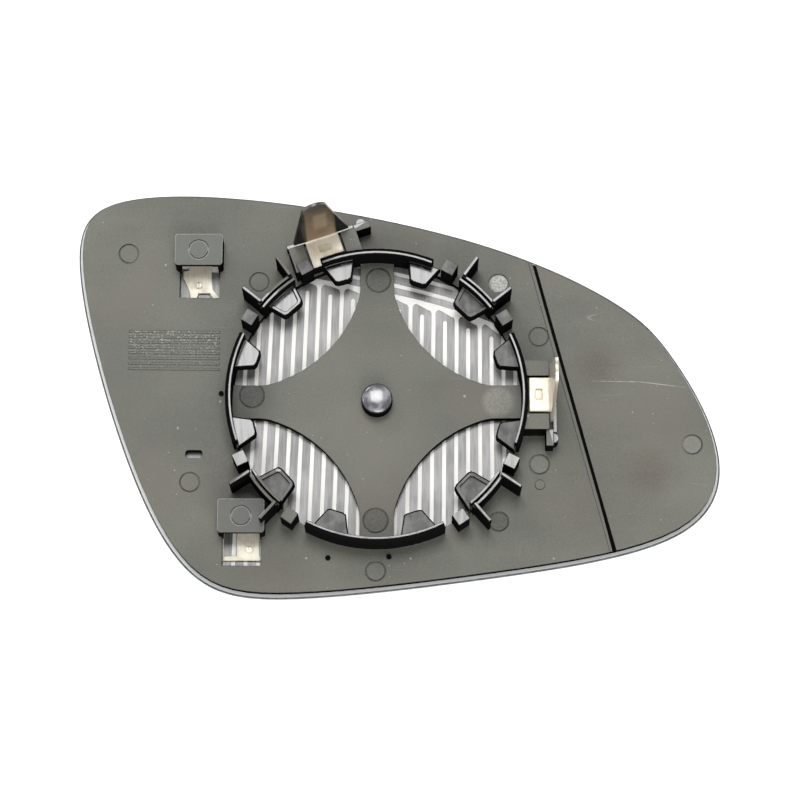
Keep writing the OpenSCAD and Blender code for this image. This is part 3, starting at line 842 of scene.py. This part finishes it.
class OBJECT_OT_mirror_contacts(Operator):
    """Gives the contact blades, terminals and rivets their finish"""

    bl_idname = "object.mirror_contacts"
    bl_label = "Contacts"

    def execute(self, context):
        p = settings("mirror_contacts")
        # The top blade's tongue carries painted reflection
        blade = tinned("Polished tinned brass with painted reflection", p.blade, "d8cfb8", 0.38, "98816a", 109, metal=0.15)
        terminal = tinned("Cream tinned brass", p.terminal, "dad2bb", 0.36, metal=0.1)
        punched = tinned("Punched tin", p.terminal, "6e6a60", 0.3)
        bright = tinned("Bright tinned brass", p.blade, "dad3c2", 0.34, metal=0.2)
        cover(bent_blade("top_blade_bent", "top_contact_blade", 109, True, 1.2), blade)
        cover(bent_blade("right_blade_bent", "right_contact_blade", 0, False, 0.0), bright)
        for source in ("upper_left_terminal", "lower_left_terminal", "upper_left_rivet", "lower_left_rivet"):
            rivet = source.endswith("rivet")
            obj = welded(source, source + "_stamped")
            round_edges(obj, p.round_edge)
            cover(obj, punched if rivet else terminal)
        return {"FINISHED"}


def studio_paint():
    """Matt floor paint: white for the camera and for reflections, and shaded by the lamps otherwise."""
    m, tree, shader = material("Pale studio floor")
    path = node(tree, "ShaderNodeLightPath").outputs
    seen = maths(tree, "MAXIMUM", path["Is Camera Ray"], path["Is Glossy Ray"])
    seen = maths(tree, "MAXIMUM", seen, path["Is Transmission Ray"])
    finish(
        tree,
        shader,
        Base_Color=tuple(settings("mirror_stage").floor),
        Roughness=0.9,
        Specular_IOR_Level=0.1,
        Emission_Color=(1, 1, 1, 1),
        Emission_Strength=product(tree, seen, 0.6),
    )
    return m


def studio_world():
    """A white world for the camera, and a dim one for the part, brighter low down to light its walls."""
    world = bpy.data.worlds.new("Studio")
    world.use_nodes = True
    tree = world.node_tree
    tree.nodes.clear()
    strength = band(tree, axes(tree, "Generated")[2], 0.05, 0.45, 1.5, 0.46)
    dim = node(tree, "ShaderNodeBackground", {"Strength": strength}, Color=(0.77, 0.76, 0.75, 1)).outputs[0]
    white = node(tree, "ShaderNodeBackground", Color=(1, 1, 1, 1), Strength=1.0).outputs[0]
    camera_ray = node(tree, "ShaderNodeLightPath").outputs["Is Camera Ray"]
    both = node(tree, "ShaderNodeMixShader", {0: camera_ray, 1: dim, 2: white})
    node(tree, "ShaderNodeOutputWorld", {"Surface": both.outputs[0]})
    return world


# The lamps: name, place and size in metres, and share of the lamp's power
LAMPS = (
    ("overhead_softbox", (-0.02, 0.3, 0.95), 0.4, 0.7),
    ("window_softbox", (-0.45, 0.75, 0.6), 0.4, 0.5),
    ("left_softbox", (-0.95, 0.1, 0.5), 0.3, 0.2),
    ("front_softbox", (0.1, -0.7, 0.7), 0.5, 0.6),
    ("low_softbox", (0.3, -0.95, 0.14), 0.3, 0.6),
)
# Half the floor's side, in metres
FLOOR_HALF = 3.0
# The camera's sensor in millimetres, the picture's width in pixels, and its scale in pixels a millimetre
SENSOR, PICTURE_W, PICTURE_SCALE = 36, 800, 3.77
# The place at which the camera looks, in metres
TARGET = Vector((0.0009, -0.0014, 0.003))


def aimed(obj, place, towards):
    """Links a lamp or camera at a place, turned towards another."""
    obj.location = place
    obj.rotation_euler = (Vector(towards) - Vector(place)).to_track_quat("-Z", "Y").to_euler()
    bpy.context.scene.collection.objects.link(obj)


class OBJECT_OT_mirror_stage(Operator):
    """Sets the floor, the world, the lamps and the camera"""

    bl_idname = "object.mirror_stage"
    bl_label = "Stage"

    def execute(self, context):
        p = settings("mirror_stage")
        mesh = bpy.data.meshes.new("studio_floor")
        sides = ((-1, -1), (1, -1), (1, 1), (-1, 1))
        mesh.from_pydata([(x * FLOOR_HALF, y * FLOOR_HALF, 0) for x, y in sides], [], [(0, 1, 2, 3)])
        floor = bpy.data.objects.new("studio_floor", mesh)
        context.scene.collection.objects.link(floor)
        cover(floor, studio_paint())

        context.scene.world = studio_world()
        for name, place, size, share in LAMPS:
            data = bpy.data.lights.new(name, "AREA")
            data.shape = "SQUARE"
            data.size = size
            data.energy = p.lamp * share
            aimed(bpy.data.objects.new(name, data), place, (0, 0, 0))

        data = bpy.data.cameras.new("camera")
        data.sensor_width = SENSOR
        data.sensor_fit = "HORIZONTAL"
        data.lens = SENSOR * PICTURE_SCALE * (p.distance / MM) / PICTURE_W
        data.clip_start = 0.01
        camera = bpy.data.objects.new("camera", data)
        away = Vector((0, -math.cos(p.elevation), math.sin(p.elevation)))
        aimed(camera, TARGET + away * p.distance, TARGET)
        context.scene.camera = camera
        context.scene.view_settings.view_transform = "Standard"
        return {"FINISHED"}


STEPS = (
    OBJECT_OT_mirror_plate,
    OBJECT_OT_mirror_glass,
    OBJECT_OT_mirror_heater,
    OBJECT_OT_mirror_contacts,
    OBJECT_OT_mirror_stage,
)


class VIEW3D_PT_mirror_glass(Panel):
    """The mirror glass's settings and steps"""

    bl_idname = "VIEW3D_PT_mirror_glass"
    bl_label = "Mirror glass"
    bl_space_type = "VIEW_3D"
    bl_region_type = "UI"
    bl_category = "Mirror glass"

    def draw(self, context):
        for name, group in GROUPS.items():
            column = self.layout.column(heading=group.__doc__)
            for key in group.__annotations__:
                column.prop(getattr(context.scene, name), key)
        for step in STEPS:
            self.layout.operator(step.bl_idname)


CLASSES = (*GROUPS.values(), *STEPS, VIEW3D_PT_mirror_glass)


def register():
    for c in CLASSES:
        bpy.utils.register_class(c)
    for name, group in GROUPS.items():
        setattr(bpy.types.Scene, name, PointerProperty(type=group))


def unregister():
    for name in GROUPS:
        delattr(bpy.types.Scene, name)
    for c in reversed(CLASSES):
        bpy.utils.unregister_class(c)


def main():
    register()
    for step in STEPS:
        group, action = step.bl_idname.split(".")
        getattr(getattr(bpy.ops, group), action)()


if __name__ == "__main__":
    main()
